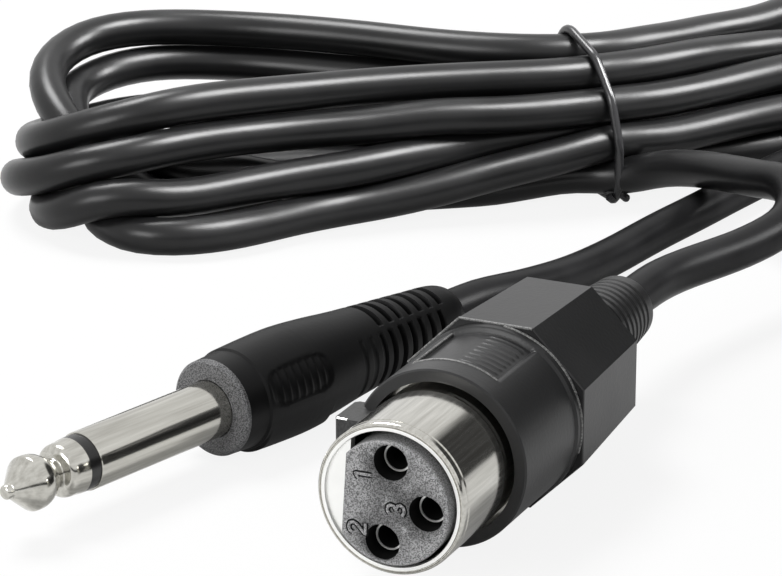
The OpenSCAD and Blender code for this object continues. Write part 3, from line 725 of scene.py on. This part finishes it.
# ---- XLR connector ----
# Profiles as (s, radius), s back from the nose's rim
SHELL = [(0.5, 7.0), (0.08, 7.06), (0.0, 7.12), (0.0, 7.46), (0.12, 7.52), (0.12, 7.6), (0.02, 7.66),
         (0.04, 7.76), (0.14, 7.86), (0.3, 7.9), (0.9, 7.9), (1.0, 7.8), (1.14, 7.8), (1.24, 7.9),
         (7.89, 7.9), (7.91, 7.9), (9.9, 7.88), (10.2, 7.8), (14, 7.8), (14, 8.4), (15.5, 8.4), (15.5, 7.0)]
# The rim's first rings carry a painted highlight
SHELL_TURNS, HIGHLIGHT_RINGS = 256, 3          # the first rings are the rim's inner edge and its face
LATCH_HALF = 4.3
HOUSING_R = 9.5
HOUSING = [(11.5, 8.21), (11.5, 9.32), (11.68, 9.5), (24.0, 9.55), (24.35, 9.8), (25.35, 9.8),
           (25.4, 9.7), (25.4, 8.42), (14.0, 8.42), (13.98, 8.21)]
CAP_FRONT, CAP_REAR, NECK_AT, NECK_END = 25.4, 42.6, 48.6, 61.0
CAP_CORNER, CAP_EDGE_R, SIDE_TURN = 10.72, 0.15, 45
NECK_R, NECK_TAPER = 4.95, 0.085
GROOVES_AT, GROOVES_END, GROOVE_PITCH, NECK_GROOVE_DEEP = 49.8, 59.6, 1.4, 0.42
RECESS, RECESS_TURN, RECESS_DEEP = (14.6, 24.3), (62, 122), 0.44        # along, in degrees, mm
RECESS_RIBS, RECESS_RIBS_TURN = (15.9, 23.6), (90, 118)
RECESS_RIB_PITCH, RECESS_RIB_HIGH = 1.05, 0.12
EDGE_R, LIP_R = 0.16, 0.17                  # of the worn edges' bright lines


def latch_gap(s, turn, r, floor, back):
    """A wall's radius, brought down to the floor in its opening beside the latch button."""
    inside = (np.abs(r * np.sin(turn)) < LATCH_HALF) & (np.cos(turn) > 0) & (s < back)
    return np.where(inside, np.minimum(r, floor), r)


def housing_shape(s, turn, r):
    """The thumb recess with its ribs in the outer wall, and the opening beside the latch button."""
    deg = degrees(turn)
    outer_wall = r > 9
    if outer_wall:
        recess = window(s, *RECESS, 0.25) * window(deg, *RECESS_TURN, 2.2)
        wave = np.maximum(0, math.sin(2 * math.pi * (s - 16) / RECESS_RIB_PITCH))
        ribs = wave * window(s, *RECESS_RIBS, 0.1)
        r = r - RECESS_DEEP * recess + RECESS_RIB_HIGH * ribs * window(deg, *RECESS_RIBS_TURN, 2.5)
    return latch_gap(s, turn, r, 8.22, 13.62)


def shell_shape(s, turn, r):
    """The nose's wall, open beside the latch button."""
    if 7.9 < s < 14.05:
        return latch_gap(s, turn, np.full_like(turn, r), 7.02, 14.05)
    return np.full_like(turn, r)


def cap_shape(s, turn, r):
    """Eight flats, one of them on top; the shoulder goes over into the round neck."""
    if s > NECK_AT or s < CAP_FRONT - 0.01 or r < 6 and s < CAP_REAR:
        return np.full_like(turn, r)
    deg = degrees(turn)
    side = SIDE_TURN * np.round(deg / SIDE_TURN)
    flat = r * math.cos(math.radians(SIDE_TURN / 2)) / np.cos(np.radians(off_angle(deg, side)))
    share = rise((NECK_AT - s) / (NECK_AT - CAP_REAR))
    return share * flat + (1 - share) * r


def neck_profile():
    """The tapered neck with its ring grooves."""
    out = []
    for s in np.arange(NECK_AT, NECK_END - 0.4, 0.1):
        wave = max(0.0, math.sin(2 * math.pi * (s - GROOVES_AT) / GROOVE_PITCH)) ** 0.6
        groove = window(s, GROOVES_AT, GROOVES_END, 0.2) * wave
        out.append((float(s), NECK_R - NECK_TAPER * (s - NECK_AT) - NECK_GROOVE_DEEP * groove))
    return out + [(NECK_END - 0.3, 3.85), (NECK_END, 3.5)]


def arc(s, r, start, end, n=40):
    """Points of an arc round the connector's axis, from start to end in degrees."""
    deg = np.radians(np.linspace(start, end, n))
    return np.c_[r * np.cos(deg), r * np.sin(deg), np.full(n, float(s))]


def make_housing():
    """The front housing, with its worn edges as bright lines."""
    body = turned_mesh(dense(HOUSING, 0.14), 288, housing_shape, loop=True)
    lip = tube_mesh(arc(14.62, HOUSING_R - 0.04, 63, 121), LIP_R, 8)
    side_line = np.c_[arc(0, HOUSING_R - 0.06, 63, 63.01, 30)[:, :2], np.linspace(14.8, 24.4, 30)]
    side = tube_mesh(side_line, EDGE_R, 8)
    seam = tube_mesh(arc(25.22, 9.8, 96, 196), EDGE_R, 8)
    parts = [(body, 0), (lip, 1), (side, 1), (seam, 1)]
    piece("housing_front", placed(on_xlr, joined(parts)), "housing", "front_housing", extra=["worn_edge"])


def make_cap():
    """The eight-sided back cap with its spigot and neck, and the worn edge of two of its sides."""
    outer = [(18.2, 8.3), (CAP_FRONT - 0.02, 8.3), (CAP_FRONT, CAP_CORNER - 0.12)]
    outer += [(CAP_FRONT + 0.14, CAP_CORNER), (CAP_REAR - 0.1, 9.72), (CAP_REAR, 9.64)]
    outer += [(44.5, 8.1), (46.5, 6.3), (NECK_AT - 0.05, 5.2)]
    inner = [(NECK_END, 2.5), (49.5, 2.5), (46, 3.9), (40, 6.0), (38, 7.15), (18.2, 7.15)]
    body = turned_mesh(outer + neck_profile() + inner, 128, cap_shape, loop=True)
    turns = [SIDE_TURN * (k + 0.5) for k in range(3)]
    corners = np.array([arc(CAP_FRONT + 0.06, CAP_CORNER - 0.06, turn, turn, 1)[0] for turn in turns])
    edge_line = np.vstack([np.linspace(corners[k], corners[k + 1], 20)[:19 + k] for k in (0, 1)])
    parts = [(body, 0), (tube_mesh(edge_line, CAP_EDGE_R, 8), 1)]
    piece("cap_back", placed(on_xlr, joined(parts)), "housing", "back_cap", extra=["worn_edge"])


BLOCK_FRONT, BLOCK_EDGE = -0.9, 0.13        # the face stands a little out of the rim; its bevel
BLOCK_R, BLOCK_CENTRE = 6.45, (-0.2, -0.1)
FLAT_AT, FLAT_TURN = 4.63, math.radians(3.4)
HOLE_R, BORE_R = 1.85, 1.66                 # of the contact holes at the face and deeper in
CONTACT_CIRCLE = 4.25
CONTACTS = [(CONTACT_CIRCLE * math.cos(math.radians(a)), CONTACT_CIRCLE * math.sin(math.radians(a)))
            for a in (96, 276, 186)]
# Contact numbers: the middle of each and its stroke as points (right, up) of the number
NUMERALS = [
    ((2.46, 2.53), [(-0.4, 0.52), (0.02, 0.86), (0.08, 0.86), (0.08, -0.9)]),
    ((3.13, -3.15), [(-0.55, 0.5), (-0.4, 0.8), (0, 0.92), (0.4, 0.8), (0.55, 0.45), (0.4, 0.05),
                     (-0.58, -0.88), (0.62, -0.88)]),
    ((-1.03, -0.55), [(-0.5, 0.66), (-0.2, 0.9), (0.2, 0.88), (0.45, 0.6), (0.38, 0.2), (0, 0.02),
                      (0.42, -0.16), (0.56, -0.5), (0.35, -0.84), (-0.1, -0.92), (-0.5, -0.7)]),
]
# Radius, height and material number of the outline, painted shade for the groove round the stroke, and of the
# stroke inside it
NUMERAL_LINES = [(0.33, 0.05, 1), (0.17, 0.13, 0)]


def make_marks():
    """The contact numbers, raised on the face of the block inside an outline painted dark as the shade of a
    groove.
    """
    parts = []
    for (cx, cy), stroke in NUMERALS:
        p = even(np.array([(cx + up, cy + right, 0) for right, up in stroke]), 0.12)
        for radius, height, kind in NUMERAL_LINES:
            verts, faces = tube_mesh(p, radius, 12)
            verts[:, 2] = BLOCK_FRONT + verts[:, 2] * height / radius
            parts.append(((verts, faces), kind))
    piece("contact_marks", placed(on_xlr, joined(parts)), "contact_block", extra=["painted_shade"])


def cut_circle(r, flat, centre=(0, 0), n=160):
    """A circle with one flat on the latch's side."""
    turn = np.linspace(0, 2 * math.pi, n, endpoint=False)
    x, y = np.minimum(r * np.cos(turn), flat), r * np.sin(turn)
    c, q = math.cos(FLAT_TURN), math.sin(FLAT_TURN)
    return np.c_[x * c - y * q, x * q + y * c] + centre


def circle(centre, r, n=48):
    """Points of a circle in the plane of the face."""
    turn = np.linspace(0, 2 * math.pi, n, endpoint=False)
    return np.c_[centre[0] + r * np.cos(turn), centre[1] + r * np.sin(turn)]


def bored_plate(r, flat, hole_r, levels, centre=(0, 0)):
    """A block with the three contact holes; levels give s and how much its edges are cut back there."""
    rings = [[cut_circle(r - cut, flat - cut, centre)] + [circle(c, hole_r + cut / 4) for c in CONTACTS]
             for _, cut in levels]
    sizes = [len(ring) for ring in rings[0]]
    starts = np.cumsum([0] + sizes)
    edges = [(a + k, a + (k + 1) % n) for a, n in zip(starts, sizes) for k in range(n)]
    flat_points = [Vector(p) for p in np.vstack(rings[0])]
    points, _, triangles, source, _, _ = delaunay_2d_cdt(flat_points, edges, [], 0, 1e-7)
    kept = []
    for tri in triangles:
        middle = sum((points[k] for k in tri), Vector((0, 0))) / 3
        if all((middle - Vector(c)).length > hole_r for c in CONTACTS):
            kept.append([source[k][0] for k in tri])
    verts = np.vstack([np.c_[np.vstack(ring), np.full(starts[-1], s)] for ring, (s, _) in zip(rings, levels)])
    total = starts[-1]
    faces, kinds = [tuple(reversed(t)) for t in kept], [0] * len(kept)
    # the holes' walls below the face, and the back, take material 1: painted shade
    for level in range(len(levels) - 1):
        for part, (a, n) in enumerate(zip(starts, sizes)):
            for k in range(n):
                quad = (a + k, a + (k + 1) % n, total + a + (k + 1) % n, total + a + k)
                quad = tuple(level * total + q for q in quad)
                faces.append(quad if part == 0 else quad[::-1])
                kinds.append(0 if part == 0 or level == 0 else 1)
    faces += [tuple((len(levels) - 1) * total + k for k in t) for t in kept]
    return verts, faces, kinds + [1] * len(kept)


def make_block():
    """The contact block: its face and flat, a narrower middle beside the latch and its flange."""
    flat, no_flat = FLAT_AT - BLOCK_CENTRE[0], 20
    face_levels = [(BLOCK_FRONT, BLOCK_EDGE), (BLOCK_FRONT + BLOCK_EDGE, 0), (6.5, 0)]
    sections = [bored_plate(BLOCK_R, flat, HOLE_R, face_levels, BLOCK_CENTRE),
                bored_plate(6.25, 2.8, BORE_R, [(6.4, 0), (15.7, 0)]),
                bored_plate(7.9, no_flat, BORE_R, [(15.6, 0), (19, 0)])]
    verts, faces, _ = joined([((v, f), 0) for v, f, _ in sections])
    kinds = [kind for *_, section_kinds in sections for kind in section_kinds]
    mesh = (verts, faces, kinds)
    piece("contact_block", placed(on_xlr, mesh), "contact_block", "xlr_insert", extra=["painted_shade"])


# A socket as a closed profile: lip, wall, solder cup and bore; its first rings are the lip, which carries a
# painted highlight
SOCKET = [(0.9, 1.26), (0.82, 1.3), (0.82, 1.47), (0.9, 1.51), (6.5, 1.51), (6.5, 1.65), (19, 1.65),
          (19, 1.45), (24, 1.45), (24, 0.9), (20.5, 0.9), (20.5, 0.05), (14.5, 0.05), (14.5, 1.2), (1.4, 1.2)]
SOCKET_TURNS, LIP_HIGHLIGHT_RINGS = 48, 3
# A line of painted highlight along the button's upper front corner
LATCH_HIGHLIGHT = [(8.6, 4.0, 8.2), (9.7, 4.0, 8.2)]


def make_sockets():
    """The three contacts, with painted shade inside and a painted highlight on their lips."""
    for number, (x, y) in enumerate(CONTACTS, 1):
        verts, faces = turned_mesh(SOCKET, SOCKET_TURNS, loop=True)
        # the lip takes the painted highlight, the rest of the contact painted shade
        kinds = [2 if k < LIP_HIGHLIGHT_RINGS * SOCKET_TURNS else 1 for k in range(len(faces))]
        piece(f"socket_{number}", placed(on_xlr, (verts + [x, y, 0], faces, kinds)), "contact",
              f"xlr_contact_{number}", extra=["painted_shade", "painted_highlight"])


def make_latch_highlight():
    """A painted highlight along the corner between the button's front and its upper side."""
    edge = add_mesh("latch_highlight", *placed(on_xlr, tube_mesh(even(LATCH_HIGHLIGHT, 0.2), 0.1, 8)))
    dress(edge, "latch", ["painted_highlight"])
    edge.data.polygons.foreach_set("material_index", [1] * len(edge.data.polygons))
    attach(edge, "latch")


def painted_reflection_ledge():
    """A ledge of the shell beside the flat of the contact block, painted bright as a reflection."""
    r, chord, front, back = 7.02, FLAT_AT + 0.06, 0.35, 1.3
    half = math.acos(chord / r)
    rim = [(r * math.cos(a), r * math.sin(a)) for a in np.linspace(-half, half, 33) + FLAT_TURN]
    verts = [(x, y, s) for s in (front, back) for x, y in rim]
    n = len(rim)
    faces = [(k, n + k, n + (k + 1) % n, (k + 1) % n) for k in range(n)]
    return np.array(verts), [f[::-1] for f in faces] + [tuple(reversed(range(n))), tuple(range(n, 2 * n))]


def make_shell():
    """The nickel nose with the ledge in it painted bright as a reflection; its rim carries a painted
    highlight too.
    """
    nose = turned_mesh(dense(SHELL, 0.6), SHELL_TURNS, shell_shape, loop=True)
    verts, faces, kinds = joined([(nose, 0), (painted_reflection_ledge(), 1)])
    # the rim's inner edge and face take the painted highlight
    rim = HIGHLIGHT_RINGS * SHELL_TURNS
    kinds[:rim] = [1] * rim
    piece("nose_shell", placed(on_xlr, (verts, faces, kinds)), "nickel", "xlr_shell", extra=["painted_highlight"])


make_shell()
make_block()
make_sockets()
make_latch_highlight()
make_housing()
make_cap()
make_marks()


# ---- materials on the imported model's own nodes ----
def dress_nodes():
    """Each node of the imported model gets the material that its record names."""
    for part in frame["record"]["subparts"]:
        obj = frame["nodes"].get(part["node"])
        if obj is not None:
            dress(obj, part["material_slot"])


dress_nodes()


# ---- surface and light ----
FLOOR_HALF = 3.0                    # m
FLOOR_WHITE, FLOOR_SHINE = 0.88, 0.2        # share of plain white that the camera and shiny pieces see
CARD_TOWARDS = (0.459, 0.864, 0.208)        # a dark card that the nickel reflects
CARD_DARK, PLAIN_LIGHT = 0.93, 0.24
LAMPS_ON_STRANDS = [("key_left_strands", (0.40, 0.07, 0.77), (-0.06, 0.05, 0), (0.36, 0.36), 17),
                    ("key_right_strands", (0.66, 0.54, 0.52), (0.03, 0.16, 0), (0.36, 0.36), 12)]
LAMPS = [("key", (-0.4, 0.22, 0.77), (0, 0, 0), (0.35, 0.35), 7),
         ("soft_front", (-0.3, -0.9, 0.4), (0, -0.02, 0), (0.5, 0.4), 5)]


def make_floor():
    """A plain floor that shows as white and keeps the object's shadow."""
    size = FLOOR_HALF
    obj = add_mesh("floor", [(-size, -size, 0), (size, -size, 0), (size, size, 0), (-size, size, 0)],
                   [(0, 1, 2, 3)], smooth=False, scale=1.0)
    mat, nodes, links, shader = new_material("floor")
    shader.inputs["Base Color"].default_value = (0.86, 0.86, 0.86, 1)
    shader.inputs["Roughness"].default_value = 0.9
    shader.inputs["Specular IOR Level"].default_value = 0.1
    glow = nodes.new("ShaderNodeEmission")
    glow.inputs["Color"].default_value = (1, 1, 1, 1)
    glow.inputs["Strength"].default_value = 1.0
    mix = nodes.new("ShaderNodeMixShader")
    out = next(n for n in nodes if n.type == "OUTPUT_MATERIAL")
    kind = nodes.new("ShaderNodeLightPath").outputs
    seen = combine(nodes, links, "MAXIMUM", kind["Is Camera Ray"], kind["Is Transmission Ray"])
    seen = combine(nodes, links, "MULTIPLY", seen, FLOOR_WHITE)
    shine = combine(nodes, links, "MULTIPLY", kind["Is Glossy Ray"], FLOOR_SHINE)
    links.new(combine(nodes, links, "MAXIMUM", seen, shine), mix.inputs[0])
    links.new(shader.outputs[0], mix.inputs[1])
    links.new(glow.outputs[0], mix.inputs[2])
    links.new(mix.outputs[0], out.inputs[0])
    obj.data.materials.append(mat)


def studio_brightness(nodes, links):
    """White all round, with a dark card behind on the right and a dark strip low down beside it."""
    where = nodes.new("ShaderNodeTexCoord")
    parts = nodes.new("ShaderNodeSeparateXYZ")
    links.new(where.outputs["Generated"], parts.inputs[0])
    facing = nodes.new("ShaderNodeVectorMath")
    facing.operation = "DOT_PRODUCT"
    facing.inputs[1].default_value = CARD_TOWARDS
    links.new(where.outputs["Generated"], facing.inputs[0])
    card = ramp_value(nodes, links, facing.outputs["Value"], 0.88, 0.945)
    low = combine(nodes, links, "SUBTRACT", 1.0, ramp_value(nodes, links, parts.outputs["Z"], 0.1, 0.22))
    right = ramp_value(nodes, links, parts.outputs["X"], -0.15, 0.1)
    dark = combine(nodes, links, "MAXIMUM", card, combine(nodes, links, "MULTIPLY", low, right))
    return combine(nodes, links, "SUBTRACT", 1.0, combine(nodes, links, "MULTIPLY", dark, CARD_DARK))


def make_world():
    """White for the camera, the studio for shiny pieces and a weak plain light for the rest."""
    world = bpy.data.worlds.new("world")
    bpy.context.scene.world = world
    world.use_nodes = True
    nodes, links = world.node_tree.nodes, world.node_tree.links
    nodes.clear()
    out = nodes.new("ShaderNodeOutputWorld")
    kind = nodes.new("ShaderNodeLightPath").outputs
    back = nodes.new("ShaderNodeBackground")
    back.inputs["Color"].default_value = (1, 1, 1, 1)
    shiny = combine(nodes, links, "MAXIMUM", kind["Is Glossy Ray"], kind["Is Transmission Ray"])
    shine = combine(nodes, links, "MULTIPLY", studio_brightness(nodes, links), shiny)
    plain = combine(nodes, links, "MULTIPLY", combine(nodes, links, "SUBTRACT", 1.0, shiny), PLAIN_LIGHT)
    lit = combine(nodes, links, "ADD", shine, plain)
    links.new(combine(nodes, links, "MAXIMUM", lit, kind["Is Camera Ray"]), back.inputs["Strength"])
    links.new(back.outputs[0], out.inputs[0])


def area_light(name, location, target, size, energy, lit=None):
    """A soft lamp; lit limits it to the objects of one collection."""
    data = bpy.data.lights.new(name, "AREA")
    data.shape = "RECTANGLE"
    data.size, data.size_y = size
    data.energy = energy
    obj = bpy.data.objects.new(name, data)
    obj.location = location
    obj.rotation_euler = (Vector(target) - Vector(location)).to_track_quat("-Z", "Y").to_euler()
    bpy.context.scene.collection.objects.link(obj)
    if lit:
        obj.light_linking.receiver_collection = lit


def make_lamps():
    """Two lamps for the cable and the tie alone, and two for everything."""
    strands = bpy.data.collections.new("strands")
    for obj in (cable, tie):
        strands.objects.link(obj)
    for lamp in LAMPS_ON_STRANDS:
        area_light(*lamp, strands)
    for lamp in LAMPS:
        area_light(*lamp)


make_floor()
make_world()
make_lamps()
bpy.context.scene.view_settings.view_transform = "Standard"
